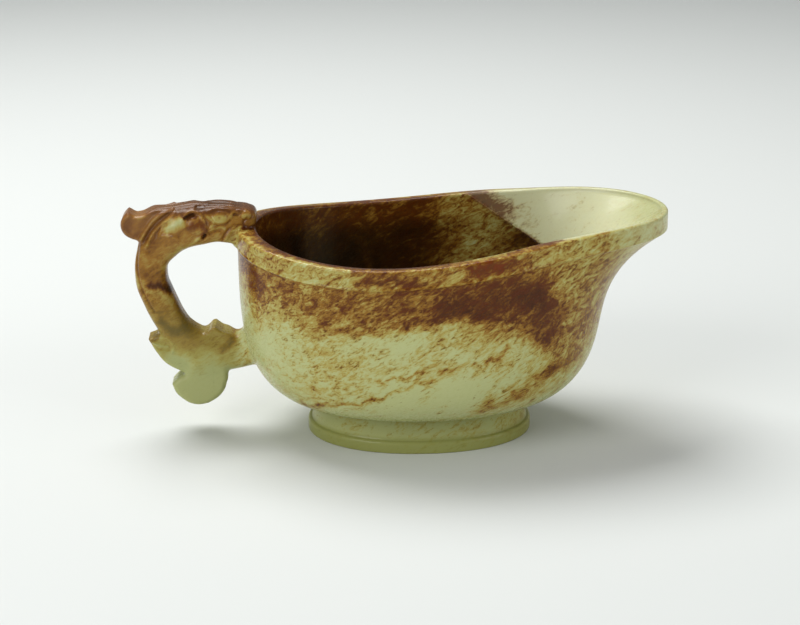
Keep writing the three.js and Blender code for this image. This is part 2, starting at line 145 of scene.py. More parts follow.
# The photo's camera: its height, its turn towards the handle, its distance and what it looks at,
# which stands this many of the photo's pixels right of the photo's middle and below it
eye_height = math.radians(17.5)
eye_turn = math.radians(3)
eye_distance = 620
view_target = np.array([-0.2, 0, 34.8])
eye_level = math.cos(eye_height)
eye_direction = np.array(
    [-math.sin(eye_turn) * eye_level, -math.cos(eye_turn) * eye_level, math.sin(eye_height)]
)
eye_place = view_target + eye_distance * eye_direction
photo_width = 800
target_offset_x = 18.6
target_offset_y = 5.5
focal_length = 90
sensor_width = 36
sight_end = 20

# Seam down the far inner wall, where the stained hollow meets the pale spout: two places on it,
# and its bead
seam_top = np.array([21.3, 36.0, 62.5])
seam_low = np.array([39.8, 21.6, 52.1])
seam_length = 24
seam_start = 0.5
seam_radius = 0.36
seam_sides = 8
seam_places = 60
seam_fading_places = 12


# Shape of the wall, as in the solid model

def smoothstep(value, low, high):
    share = np.clip((value - low) / (high - low), 0, 1)
    return share * share * (3 - 2 * share)


def bump(away, width):
    """1 where a point isn't away at all, fading to nothing about two widths off."""
    return np.exp(-((away / width) ** 2))


def oval_radius(theta, front, back, side, squareness):
    along = np.where(np.cos(theta) > 0, front, back)
    sum_of_powers = np.abs(np.cos(theta) / along) ** squareness
    sum_of_powers += np.abs(np.sin(theta) / side) ** squareness
    return sum_of_powers ** (-1 / squareness)


def rim_height(x):
    climb = smoothstep(x, rim_low_x, spout_rise_end)
    back = np.maximum(0, rim_low_x - x) / (rim_low_x + bowl_back)
    return rim_low + spout_rise * climb + handle_rise * back**2


def spout_share(theta):
    turn = np.abs(np.arctan2(np.sin(theta), np.cos(theta)))
    fade = np.cos(np.minimum(turn / spout_half_angle, 1) * (math.pi / 2))
    return fade**spout_taper


def foot_radius(theta):
    return oval_radius(theta, foot_half_length, foot_half_length, foot_half_width, foot_squareness)


def bowl_radius(theta):
    return oval_radius(theta, bowl_front, bowl_back, bowl_half_width, bowl_squareness)


def rim_top(theta):
    reach = bowl_radius(theta) + spout_reach * spout_share(theta)
    return rim_height(reach * np.cos(theta))


def wall_radius(theta, z):
    top = rim_top(theta)
    rise = np.clip((z - foot_height) / (top - foot_height), 0, 1)
    fullness = wall_fullness + spout_fullness * np.cos(theta) * np.abs(np.cos(theta))
    fill = (1 - (1 - rise) ** fullness) ** (1 / wall_turn)
    lean = np.maximum(0, z - flare_start) / (top - band_height - flare_start)
    neck = foot_radius(theta) - foot_inset
    flare = spout_reach * spout_share(theta) * lean**flare_power
    return neck + (bowl_radius(theta) - neck) * fill + flare


def band_step(below):
    """How far the band stands out at a distance below the rim: a plain face over a raised line."""
    face = band_face_share * (1 - smoothstep(below, band_height - 0.2, band_height + 0.6))
    line = band_line_share * bump(below - band_height + 0.1, band_line_width)
    return band_proud * (face + line)


def outer_radius(theta, z):
    """The wall's outside with its band, left square at the rim."""
    top = rim_top(theta)
    plain = wall_radius(theta, np.minimum(z, top - band_height))
    return plain + (1 - spout_share(theta)) * band_step(top - z)


def inner_radius(theta, z):
    inward = wall_thickness - lip_thinning * spout_share(theta)
    inward += handle_end_thickening * np.maximum(0, -np.cos(theta)) ** handle_end_power
    hollow = wall_radius(theta, z - floor_thickness) - inward
    lip = wall_radius(theta, rim_top(theta) - band_height) - lip_edge - rim_round
    return np.minimum(hollow, lip)


# Meshes

def to_frame(points):
    """Millimetres from the foot's centre to metres in the row's frame."""
    moved = np.array(points, float) * MM
    moved[:, 0] += foot_centre_x
    return moved


def add_object(name, data):
    thing = bpy.data.objects.new(name, data)
    bpy.context.scene.collection.objects.link(thing)
    return thing


def new_piece(name, points, faces):
    mesh = bpy.data.meshes.new(name)
    mesh.from_pydata(to_frame(points).tolist(), [], faces)
    mesh.validate()
    return add_object(name, mesh)


def full_turn(count):
    """Angles spread evenly round a circle."""
    return np.arange(count) * 2 * math.pi / count


def ring(radius, z, theta):
    height = np.broadcast_to(z, theta.shape)
    return np.stack([radius * np.cos(theta), radius * np.sin(theta), height], axis=1)


def loft(rings, closes_on_itself=False):
    """Points and faces through rings of equal count. Open ends are closed by fans."""
    count = len(rings[0])
    points = np.vstack(rings)
    here = np.arange(count)
    after = (here + 1) % count
    faces = []
    spans = len(rings) if closes_on_itself else len(rings) - 1
    for row in range(spans):
        low = row * count
        high = (row + 1) % len(rings) * count
        quads = np.stack([low + here, low + after, high + after, high + here], axis=1)
        faces.extend(quads.tolist())
    if not closes_on_itself:
        hubs = [rings[0].mean(axis=0), rings[-1].mean(axis=0)]
        base = len(points)
        points = np.vstack([points, hubs])
        last = (len(rings) - 1) * count
        faces.extend(np.stack([here * 0 + base, after, here], axis=1).tolist())
        faces.extend(np.stack([here * 0 + base + 1, last + here, last + after], axis=1).tolist())
    return points, faces


def quarter_turn(steps):
    """Angles from none to a right angle, both among them."""
    return [math.pi / 2 * step / steps for step in range(steps + 1)]


def wall_rings(radius_at, low, high, theta):
    """Rings up a wall, closer together near its low end."""
    rings = []
    for row in range(wall_rows):
        height = low + (high - low) * (row / wall_rows) ** row_crowding
        rings.append(ring(radius_at(theta, height), height, theta))
    return rings


def rim_rings(radius, side, top, theta):
    """Rings over a quarter of the rounded rim, from a wall's radius up. Side is 1 inside."""
    rings = []
    for turn in quarter_turn(round_steps):
        shift = rim_round * (1 - math.cos(turn))
        rings.append(ring(radius + side * shift, top - rim_round * (1 - math.sin(turn)), theta))
    return rings


def build_bowl():
    theta = full_turn(angles_round)
    top = rim_top(theta)
    neck = wall_radius(theta, foot_height)
    rings = [ring(neck * share, foot_height, theta) for share in (0.02, 0.3, 0.6, 0.85)]
    # Outside, from the foot up to a little below the band, then in fine rows over the band.
    band_from = band_height + band_margin
    rings += wall_rings(outer_radius, foot_height, top - band_from, theta)
    for row in range(band_rows):
        below = band_from + (rim_round - band_from) * row / band_rows
        rings.append(ring(outer_radius(theta, top - below), top - below, theta))
    # Over the rounded rim and down the inside.
    rings += rim_rings(outer_radius(theta, top - rim_round), -1, top, theta)
    rings += rim_rings(inner_radius(theta, top - rim_round), 1, top, theta)[::-1]
    low = foot_height + floor_thickness
    rings += wall_rings(inner_radius, low, top - rim_round, theta)[::-1]
    floor_edge = inner_radius(theta, np.full_like(theta, low))
    rings += [ring(floor_edge * share, low, theta) for share in (0.9, 0.75, 0.55, 0.3, 0.02)]
    return new_piece("bowl_shell", *loft(rings))


def foot_section():
    """How far in and how high the ring's section runs, from its outer lower corner."""
    section = []
    for turn in quarter_turn(foot_round_steps):
        section.append((foot_round * (1 - math.sin(turn)), foot_round * (1 - math.cos(turn))))
    for turn in quarter_turn(foot_round_steps):
        rise = foot_band - ledge_round * (1 - math.sin(turn))
        section.append((ledge_round * (1 - math.cos(turn)), rise))
    # The cove draws in above the band and turns upright where it meets the bowl.
    for turn in quarter_turn(cove_steps)[1:]:
        inset = ledge_round + (foot_inset - ledge_round) * math.sin(turn)
        rise = foot_height - (foot_height - foot_band) * math.cos(turn)
        section.append((inset, rise))
    section.append((foot_ring_width, foot_height))
    section.append((foot_ring_width, foot_round))
    section.append((foot_ring_width - foot_round, 0))
    return section


def build_foot():
    theta = full_turn(angles_round)
    outer = foot_radius(theta)
    rings = [ring(outer - inset, z, theta) for inset, z in foot_section()]
    return new_piece("foot_band", *loft(rings, closes_on_itself=True))


# Fields: distances on a grid of points round the handle, below zero inside the stone

def smooth_min(a, b, reach):
    mix = np.maximum(reach - np.abs(a - b), 0) / reach
    return np.minimum(a, b) - mix * mix * reach / 4


def spline(points, steps=outline_steps):
    """A smooth line through a few points."""
    points = np.array(points, float)
    last = len(points) - 1
    line = []
    for i in range(last):
        before = points[max(i - 1, 0)]
        start = points[i]
        end = points[i + 1]
        after = points[min(i + 2, last)]
        bend = 2 * before - 5 * start + 4 * end - after
        twist = 3 * start - before - 3 * end + after
        for step in range(steps):
            t = step / steps
            line.append(0.5 * (2 * start + (end - before) * t + bend * t**2 + twist * t**3))
    line.append(points[last])
    return np.array(line)


def nearest(x, z, line):
    """Distance to a line, the place along it and the side of it, for each point."""
    best = np.full(x.shape, np.inf)
    along = np.zeros(x.shape)
    side = np.ones(x.shape)
    for i in range(len(line) - 1):
        start = line[i]
        step = line[i + 1] - start
        t = ((x - start[0]) * step[0] + (z - start[1]) * step[1]) / step.dot(step)
        t = np.clip(t, 0, 1)
        dx = x - start[0] - t * step[0]
        dz = z - start[1] - t * step[1]
        distance = np.hypot(dx, dz)
        closer = distance < best
        best = np.where(closer, distance, best)
        along = np.where(closer, i + t, along)
        side = np.where(closer, np.sign(step[0] * dz - step[1] * dx), side)
    return best, along, side


def outline_distance(x, z, outline):
    closed = np.vstack([outline, outline[:1]])
    distance = nearest(x, z, closed)[0]
    inside = np.zeros(x.shape, bool)
    for a, b in zip(closed, closed[1:]):
        if a[1] != b[1]:
            crosses = (a[1] > z) != (b[1] > z)
            at = a[0] + (z - a[1]) * (b[0] - a[0]) / (b[1] - a[1])
            inside ^= crosses & (x < at)
    return np.where(inside, -distance, distance)


def member(x, y, z, outline, depth, edge):
    """A flat carved member with rounded edges."""
    flat = outline_distance(x, z, outline)[:, None, :] + edge
    deep = np.abs(y)[None, :, None] - np.asarray(depth) / 2 + edge
    outside = np.hypot(np.maximum(flat, 0), np.maximum(deep, 0))
    return outside + np.minimum(np.maximum(flat, deep), 0) - edge


seat_height = rim_height(-bowl_back) + seat_above_rim
joint_x = -(bowl_back + joint_gap)
bend_x = -(bowl_back + handle_reach) + grip_thickness / 2
head_middle = seat_height + head_crown - head_height / 2
head_front_x = -bowl_back + snout_overhang
head_back_x = head_front_x - head_length


def grip_point(out_share, down_share):
    """The grip's middle line: shares of the way out to the bend and down to the tail."""
    x = joint_x + (bend_x - joint_x) * out_share
    z = head_middle + (tail_height - head_middle) * down_share
    return x, z


def sweep_stations():
    """Place, half thickness, half depth and squareness of the section, from the head to the wall."""
    half = grip_thickness / 2
    deep = handle_depth / 2
    tail = tail_thickness / 2
    return [
        (*grip_point(0.42, 0.01), head_height * 0.42, head_width * 0.42, 3),
        (*grip_point(0.62, 0.05), head_height * 0.44, head_width * 0.44, 3),
        (*grip_point(0.8, 0.125), half * 1.16, deep * 1.06, 3.2),
        (*grip_point(0.93, 0.21), half * 1.1, deep * 1.02, 3.2),
        (*grip_point(0.99, 0.3), half * 1.02, deep, 3.2),
        (*grip_point(1, 0.39), half, deep, 3.2),
        (*grip_point(0.984, 0.47), half, deep, 3.2),
        (*grip_point(0.934, 0.55), half, deep, 3.2),
        (*grip_point(0.865, 0.648), half, deep, 3.2),
        (*grip_point(0.786, 0.744), half * 0.97, deep, 3.2),
        (*grip_point(0.683, 0.84), half, deep, 3),
        (*grip_point(0.53, 0.925), half * 1.1, deep, 3),
        (*grip_point(0.34, 0.985), tail, deep, 3),
        (*grip_point(0.15, 1), tail, deep, 3),
        (joint_x, tail_height, tail, deep, 3),
        (joint_x + 3 * joint_gap, tail_height + 0.8, tail - 0.9, deep, 3),
    ]


def sweep_field(x, y, z):
    stations = spline(sweep_stations())
    distance, along, side = nearest(x, z, stations[:, :2])
    at = np.arange(len(stations))
    thick = np.interp(along, at, stations[:, 2])[:, None, :]
    deep = np.interp(along, at, stations[:, 3])[:, None, :]
    power = np.interp(along, at, stations[:, 4])[:, None, :]
    across = distance[:, None, :]
    depth = np.abs(y)[None, :, None]
    share = ((across / thick) ** power + (depth / deep) ** power) ** (1 / power)
    reach = np.hypot(across, depth) + 1e-4
    return reach * (1 - 1 / np.maximum(share, 1e-6))


def joined(*lines):
    """An outline of smooth lines, each of which starts where the one before ends."""
    outline = spline(lines[0])
    for before, line in zip(lines, lines[1:]):
        outline = np.vstack([outline, spline([before[-1], *line])[1:]])
    return outline


def head_outline():
    """The head in profile: low crown, upright snout, chin on the rim and throat over the loop."""
    crown = [(-75, 70.4), (-72, 71.7), (-67, 72.2), (-61.5, 72.3), (-57, 72.1), (-53, 71.6)]
    snout = [(-50.6, 71), (-49.5, 69.6), (-49.5, 67.6), (-50.6, 65.2), (-53, 62.6)]
    throat = [(-55.4, 60.6), (-58, 61), (-61.5, 61.5), (-66.8, 61.2), (-71, 60.6)]
    return np.vstack([joined(crown, snout, throat), [(-75.5, 62)]])


def mane_outline():
    """The tuft: along the crown, down to a dip, up to a pointed curl and back along the loop."""
    top = [(-69, 70.6), (-74, 71.4), (-77.6, 71.5), (-80.6, 71.2), (-83.6, 69.8), (-85.7, 69.3)]
    curl = [(-87, 70), (-88.1, 70.7)]
    back = [(-89.5, 69.2), (-90.35, 67.2), (-90.15, 65), (-88.9, 63.2), (-86.9, 62.1)]
    under = [(-85.2, 61.3), (-84.4, 58.6), (-80, 60), (-72, 64)]
    return joined(top, curl, back, under)


def leaf_outline():
    top = [(-72, 33), (-77, 32.6), (-79.9, 32), (-81.6, 31.2), (-83.5, 30.5)]
    under = [(-82.1, 27.8), (-80.8, 25.7), (-78.8, 23), (-76, 21), (-71.6, 19)]
    return joined(top, under, [(-66, 23)])


def lobe_outline():
    hook = [(-70, 23), (-71.8, 19.1), (-74.6, 17.8), (-76.7, 15.8)]
    round_end = [(-75.6, 13), (-73.9, 11.2), (-71.4, 9.5), (-68.6, 8.9), (-65.6, 9.4)]
    flank = [(-62.6, 11.2), (-60.6, 13.6), (-59.8, 16), (-59.4, 18.6), (-61, 27)]
    return joined(hook, round_end, flank)


def peak_outline():
    base = tail_height + tail_thickness / 2
    rise = [(-55.6, base - 2), (-58.6, base + 0.4), (-60.8, base + 1.3), (-62.8, base + 2.8)]
    fall = [(-63.8, base + 2.5), (-65.4, base + 0.9), (-68.4, base - 1.2)]
    return joined(rise, fall)


# Carving on the two sides of the handle: lines as places, height above the face and width

carved_lines = [
    ("upper_lid", [(-62.6, 69.7), (-60.5, 70.9), (-58.2, 70.5), (-57.2, 69.7)], 0.42, 0.4),
    ("lower_lid", [(-62.6, 69.7), (-61.3, 68.2), (-58.7, 68.1), (-57.2, 69.6)], 0.38, 0.4),
    ("lid_groove", [(-63.4, 68.6), (-61.6, 67.2), (-58.4, 67.2), (-56.4, 69.2)], -0.3, 0.35),
    ("brow", [(-64, 71.2), (-62, 72), (-59.6, 72), (-56.9, 71.6), (-55.1, 70.7)], 0.4, 0.45),
    ("jowl_arch", [(-71.4, 69.2), (-70.2, 70.9), (-68.4, 71.4), (-66.4, 70.8), (-65, 68.8)], 0.65, 0.5),
    ("jowl_end", [(-65, 68.8), (-64.3, 66.4), (-65.6, 64.2), (-67.4, 62.8)], 0.45, 0.5),
    ("ear", [(-70.8, 69.4), (-69.5, 70), (-68.2, 70.3)], -1.3, 0.45),
    ("ear_slit", [(-67.3, 72), (-65.2, 72.2)], -0.8, 0.4),
    ("whisker", [(-65.3, 71), (-63.8, 69.6), (-62.2, 67.9), (-63.2, 66.4)], 0.45, 0.5),
    ("throat", [(-65.5, 63.4), (-64.8, 64.3)], -1.2, 0.5),
    ("scroll", [(-64.9, 64.7), (-63.4, 65.7), (-61.5, 66.5), (-59.7, 66.6), (-58.8, 65.8)], 0.4, 0.4),
    ("under_eye", [(-63.4, 64.4), (-61.8, 65.3), (-60, 65.4)], -0.35, 0.35),
    ("nostril_curl", [(-56.9, 69), (-56.6, 70.7), (-54.6, 71.2), (-52.6, 71)], 0.4, 0.4),
    ("nostril", [(-56, 70), (-55, 69.8)], -0.8, 0.4),
    ("lip", [(-52.2, 69), (-53.4, 67.6), (-52.8, 66.2)], -0.45, 0.35),
    ("jaw", [(-53.4, 66.6), (-56.2, 66.8), (-58.6, 64.8), (-59.6, 62.6)], -0.35, 0.4),
    ("jaw_edge", [(-54.4, 65.4), (-57, 65.2), (-58.6, 62.6)], 0.25, 0.45),
    ("first_flute", [(-74.6, 71.6), (-77.3, 70.5), (-80, 68.6), (-82.4, 65.6), (-84.3, 62.5)], 0.7, 0.6),
    ("upper_hollow", [(-76.4, 71.6), (-79.6, 70.4), (-82.8, 67.6), (-85.4, 63.6)], -0.38, 1),
    ("middle_hollow", [(-75.8, 70.2), (-78.6, 67.9), (-81, 65.2), (-83.2, 61.8)], -0.34, 0.75),
    ("second_flute", [(-73.9, 70.9), (-76, 68.8), (-78.4, 66.9), (-80.9, 64.1), (-82.8, 60.2)], 0.6, 0.5),
    ("third_hollow", [(-76.6, 67.4), (-79, 64.8), (-80.9, 61.8), (-82.2, 58.8)], -0.22, 0.7),
    ("hook", [(-75.6, 69), (-77.2, 67.8), (-77.8, 66.2), (-78.5, 64.4)], 0.42, 0.4),
    ("neck_fold", [(-78.4, 63.8), (-75.4, 63.9), (-73.1, 63.3)], 0.25, 0.45),
    ("top_edge", [(-86, 68.8), (-83.6, 69), (-80.6, 70.6), (-77, 71)], 0.35, 0.4),
    ("curl_edge", [(-87.6, 69.6), (-89.2, 68.4), (-89.8, 66.4), (-88.8, 64.2)], 0.35, 0.45),
    ("curl_hollow", [(-87.4, 67.6), (-88, 65.8), (-87.2, 64)], -0.3, 0.9),
    ("back", [(-84.9, 61), (-85.6, 56), (-85.6, 52), (-84.8, 48), (-83.2, 44), (-81, 39.6)], -0.4, 0.35),
    ("leaf_vein", [(-82.6, 29.9), (-80.6, 28.7), (-77.6, 28.3)], 0.35, 0.4),
    ("leaf_groove", [(-82, 28.9), (-80, 27.3), (-76.8, 26.9)], -0.35, 0.4),
    ("leaf_edge", [(-79.6, 31.2), (-77.4, 30.8), (-75.8, 28.8), (-76.2, 26.4)], 0.3, 0.45),
]

# Bosses on the same faces: a place, how far each reaches along and up, and its height
bosses = [
    ("eye", (-60.2, 69.3), (2.2, 1.35), 0.7),
    ("cheek", (-67.2, 67.4), (2.9, 2.9), 0.7),
    ("nostril", (-52.4, 69.8), (1.6, 1.3), 0.8),
    ("shoulder", (-74, 67.2), (3.6, 2.4), 0.35),
]
pupil_place = (-60.2, 69.3)
pupil_radius = 0.5
pupil_depth = 0.45

# Scored lines along the top of head and tuft, at these distances from the middle
score_lanes = (1.9, 3.9)
score_width = 0.4
score_depth = 0.3


def relief(x, z):
    """Height of the carving over the plain side faces."""
    ridges = np.zeros(x.shape)
    hollows = np.zeros(x.shape)
    for _, places, height, width in carved_lines:
        distance = nearest(x, z, spline(places, carving_steps))[0]
        amount = height * bump(distance, width)
        ridges = np.maximum(ridges, amount)
        hollows = np.minimum(hollows, amount)
    raised = np.zeros(x.shape)
    for _, place, size, height in bosses:
        away = np.hypot((x - place[0]) / size[0], (z - place[1]) / size[1])
        raised += height * np.sqrt(np.maximum(0, 1 - away**2))
    away = np.hypot(x - pupil_place[0], z - pupil_place[1])
    return ridges + hollows + raised - pupil_depth * bump(away, pupil_radius)


def wall_field(x, y, z):
    """Distance to the bowl's wall with its rounded rim."""
    theta = np.arctan2(y, x)
    radius = np.hypot(x, y)
    top = rim_top(theta)
    below_rim = np.minimum(z, top - rim_round)
    side = radius - outer_radius(theta, below_rim) + rim_round
    inside = inner_radius(theta, below_rim) - radius + rim_round
    over = z - top + rim_round
    across = np.maximum(side, inside)
    outside = np.hypot(np.maximum(across, 0), np.maximum(over, 0))
    return outside + np.minimum(np.maximum(across, over), 0) - rim_round


def carved_members(x, ys, z):
    """The swept grip, with the head, tuft, leaf, lobe and peak grown onto it."""
    field = sweep_field(x, ys, z)
    narrowing = smoothstep(x, head_front_x - 0.6 * head_length, head_front_x)
    width = head_width + (snout_width - head_width) * narrowing
    head = member(x, ys, z, head_outline(), width[:, None, :], head_edge)
    field = smooth_min(field, head, corner_fillet)
    # The crown is a little domed from side to side.
    droop = crown_dome * (ys / head_width * 2) ** 2
    field += droop[None, :, None] * smoothstep(z, head_middle, head_middle + 5)[:, None, :]
    for outline, depth, edge, fillet in (
        (mane_outline(), mane_depth, 1.4, 1.6),
        (leaf_outline(), leaf_depth, 1.3, 1.2),
        (lobe_outline(), lobe_depth, 1.6, 2),
        (peak_outline(), peak_depth, 0.6, 1.4),
    ):
        field = smooth_min(field, member(x, ys, z, outline, depth, edge), fillet)
    return field


def crown_scores(x, ys, z):
    """Depth of the scored lines along the top of the head and the tuft."""
    scores = np.zeros(len(ys))
    for lane in score_lanes:
        scores += bump(np.abs(ys) - lane, score_width)
    on_top = smoothstep(z, 69.6, 71.4) * smoothstep(x, -84, -76) * (1 - smoothstep(x, -58, -54))
    return score_depth * scores[None, :, None] * on_top[:, None, :]


def rooted(field, xs, ys, zs):
    """The field near the bowl: the roots flow into the wall, and only a skirt of them is kept
    inside it."""
    height = zs[None, None, :]
    wall = wall_field(xs[:, None, None], ys[None, :, None], height)
    on_root = smoothstep(height, tail_height - tail_thickness / 2, tail_height + 1)
    on_root *= (1 - smoothstep(height, rim_low - 4, rim_low + 1))
    reach = rim_fillet + (root_fillet - rim_fillet) * on_root
    blended = smooth_min(field, wall, reach) + skirt_sink
    blended = np.maximum(blended, -wall - skirt_depth)
    return np.maximum(blended, field - reach - 0.4)


def handle_field(xs, ys, zs):
    x, z = np.meshgrid(xs, zs, indexing="ij")
    field = carved_members(x, ys, z)
    on_side = smoothstep(np.abs(ys), 1.2, 4.2)[None, :, None]
    field -= relief(x, z)[:, None, :] * on_side
    field += crown_scores(x, ys, z)
    near = xs > joint_x - 6
    field[near] = rooted(field[near], xs[near], ys, zs)
    return field


def edge_ends(values, axis, across):
    """The values at both ends of the grid's edges along an axis. The slice across says how much
    of the other axes is taken."""
    low = [across] * 3
    high = [across] * 3
    low[axis] = slice(0, -1)
    high[axis] = slice(1, None)
    return values[tuple(low)], values[tuple(high)]


def cell_points(field):
    """A point, in grid steps, for each cell that the zero level crosses, and a grid that holds
    the points' numbers."""
    counts = np.array(field.shape) - 1
    total = np.zeros((*counts, 3))
    hits = np.zeros(counts)
    for axis in range(3):
        start, end = edge_ends(field, axis, slice(None))
        crossed = (start < 0) != (end < 0)
        share = np.where(crossed, start / np.where(crossed, start - end, 1), 0)
        others = [a for a in range(3) if a != axis]
        for first, second in np.ndindex(2, 2):
            part = [slice(None)] * 3
            part[others[0]] = slice(first, first + counts[others[0]])
            part[others[1]] = slice(second, second + counts[others[1]])
            hit = crossed[tuple(part)]
            total[..., axis] += share[tuple(part)] * hit
            total[..., others[0]] += first * hit
            total[..., others[1]] += second * hit
            hits += hit
    cells = np.argwhere(hits > 0)
    number = np.full(counts, -1)
    number[tuple(cells.T)] = np.arange(len(cells))
    return cells + total[tuple(cells.T)] / hits[tuple(cells.T)][:, None], number


def cell_faces(field, number):
    """A quad round each inner edge that crosses the zero level, facing out of the stone."""
    inside = field < 0
    faces = []
    for axis in range(3):
        start, end = edge_ends(inside, axis, slice(1, -1))
        offset = np.ones(3, int)
        offset[axis] = 0
        edges = np.argwhere(start != end) + offset
        u = np.roll([1, 0, 0], (axis + 1) % 3)
        v = np.roll([1, 0, 0], (axis + 2) % 3)
        corners = [edges - u - v, edges - v, edges, edges - u]
        quads = np.stack([number[tuple(c.T)] for c in corners], axis=1)
        outward = inside[tuple(edges.T)]
        quads[~outward] = quads[~outward][:, ::-1]
        faces.append(quads)
    return np.vstack(faces)


def sample(values, places):
    """Values of a grid between its points."""
    base = np.clip(np.floor(places).astype(int), 0, np.array(values.shape) - 2)
    part = places - base
    result = 0
    for corner in np.ndindex(2, 2, 2):
        weight = 1
        for axis in range(3):
            weight *= (part[:, axis] if corner[axis] else 1 - part[:, axis])
        index = base + np.array(corner)
        result += weight * values[tuple(index.T)]
    return result


def settle(points, field, origin):
    """Moves the points onto the zero level."""
    slopes = np.gradient(field, grid_step)
    for _ in range(settling_rounds):
        places = (points - origin) / grid_step
        value = sample(field, places)
        slope = np.stack([sample(s, places) for s in slopes], axis=1)
        size = np.maximum((slope**2).sum(axis=1), 0.2)
        move = slope * (value / size)[:, None]
        points = points - np.clip(move, -grid_step / 2, grid_step / 2)
    return points


def handle_surface():
    """Points and quads of the whole handle, from a grid that reaches past it on all sides."""
    xs = np.arange(grid_back, grid_front, grid_step)
    half = math.ceil(grid_half_depth / grid_step)
    # Shifted a little, so that no point of the grid lies in the middle plane.
    ys = np.arange(-half, half + 1) * grid_step + grid_step / 7
    zs = np.arange(grid_low, grid_high, grid_step)
    field = handle_field(xs, ys, zs)
    places, number = cell_points(field)
    origin = np.array([xs[0], ys[0], zs[0]])
    return settle(origin + places * grid_step, field, origin), cell_faces(field, number)


def parted(mesh, place, normal):
    """Cuts a closed mesh at a plane square to XZ: the side that the normal points to, and the
    other."""
    centre = Vector(to_frame([(place[0], 0, place[1])])[0])
    direction = Vector((normal[0], 0, normal[1])).normalized()
    sides = []
    for sign in (1, -1):
        half = mesh.copy()
        everything = half.verts[:] + half.edges[:] + half.faces[:]
        plane = {"plane_co": centre, "plane_no": direction * sign, "clear_inner": True}
        cut = bmesh.ops.bisect_plane(half, geom=everything, dist=1e-7, **plane)
        rim = [e for e in cut["geom_cut"] if isinstance(e, bmesh.types.BMEdge)]
        made = bmesh.ops.edgeloop_fill(half, edges=rim)
        for face in made["faces"]:
            face.smooth = False
            for edge in face.edges:
                edge.smooth = False
        sides.append(half)
    mesh.free()
    return sides


def handle_mesh():
    points, faces = handle_surface()
    data = bpy.data.meshes.new("handle")
    data.from_pydata(to_frame(points).tolist(), [], faces.tolist())
    mesh = bmesh.new()
    mesh.from_mesh(data)
    bpy.data.meshes.remove(data)
    for face in mesh.faces:
        face.smooth = True
    return mesh


def build_handle():
    """The handle, parted where the frame's nodes meet: a piece for each node."""
    stain_band = grip_point(0.97, 0.465)
    notch = (-71.8, 18.8)
    leaf_root = (-79.9, 32.1)
    down_leaf = (notch[0] - leaf_root[0], notch[1] - leaf_root[1])
    mane_foot = (bend_x - grip_thickness / 2, head_middle - head_height / 2)
    mane_head = (head_back_x, seat_height + 0.8 * head_crown)
    above_mane = (mane_foot[1] - mane_head[1], mane_head[0] - mane_foot[0])
    upper, lower = parted(handle_mesh(), stain_band, (0.35, 1))
    head, behind = parted(upper, (head_back_x, head_middle), (1, 0))
    mane, neck = parted(behind, mane_foot, above_mane)
    above, lobe = parted(lower, notch, (0, 1))
    tail, body = parted(above, leaf_root, (0.3, -1))
    leaf, bracket = parted(tail, notch, (down_leaf[1], -down_leaf[0]))
    parts = {
        "dragon_head": head,
        "dragon_mane": mane,
        "dragon_neck": neck,
        "dragon_body": body,
        "tail_bracket": bracket,
        "tail_leaf": leaf,
        "tail_lobe": lobe,
    }
    pieces = {}
    for node, part in parts.items():
        name = "carved_" + node.split("_")[1]
        data = bpy.data.meshes.new(name)
        part.to_mesh(data)
        part.free()
        pieces[node] = add_object(name, data)
    return pieces


# Seam in the stone

def seam_distance(places):
    """Signed distance to the seam's plane, above zero on the spout's side. The plane runs
    through both places on the seam and the camera's."""
    normal = np.cross(seam_low - seam_top, eye_place - seam_top)
    normal = normal / np.linalg.norm(normal)
    if normal[0] < 0:
        normal = -normal
    return (places - seam_top) @ normal


def seam_line():
    """Places where the inner wall meets the seam's plane, from the rim down."""
    theta = np.linspace(math.radians(20), math.radians(75), 300)
    line = []
    for share in np.linspace(0, 1, seam_places):
        z = rim_top(theta) - seam_start - share * seam_length
        radius = inner_radius(theta, z)
        places = np.stack([radius * np.cos(theta), radius * np.sin(theta), z], axis=1)
        line.append(places[np.argmin(np.abs(seam_distance(places)))])
    return np.array(line)


def build_seam():
    """A bead on the inner wall, rough along its length and fading out at its lower end."""
    line = seam_line()
    turns = full_turn(seam_sides)
    rings = []
    for i, place in enumerate(line):
        along = line[min(i + 1, seam_places - 1)] - line[max(i - 1, 0)]
        along = along / np.linalg.norm(along)
        outward = np.array([place[0], place[1], 0]) / np.hypot(place[0], place[1])
        across = np.cross(along, outward)
        outward = np.cross(across, along)
        swell = 1 + 0.3 * math.sin(i * 1.9) + 0.2 * math.sin(i * 0.83 + 1)
        radius = seam_radius * swell * min(1, (seam_places - i) / seam_fading_places)
        circle = np.outer(np.cos(turns), across) + np.outer(np.sin(turns), outward)
        rings.append(place + circle * max(radius, 0.05))
    return new_piece("crease_bead", *loft(rings))
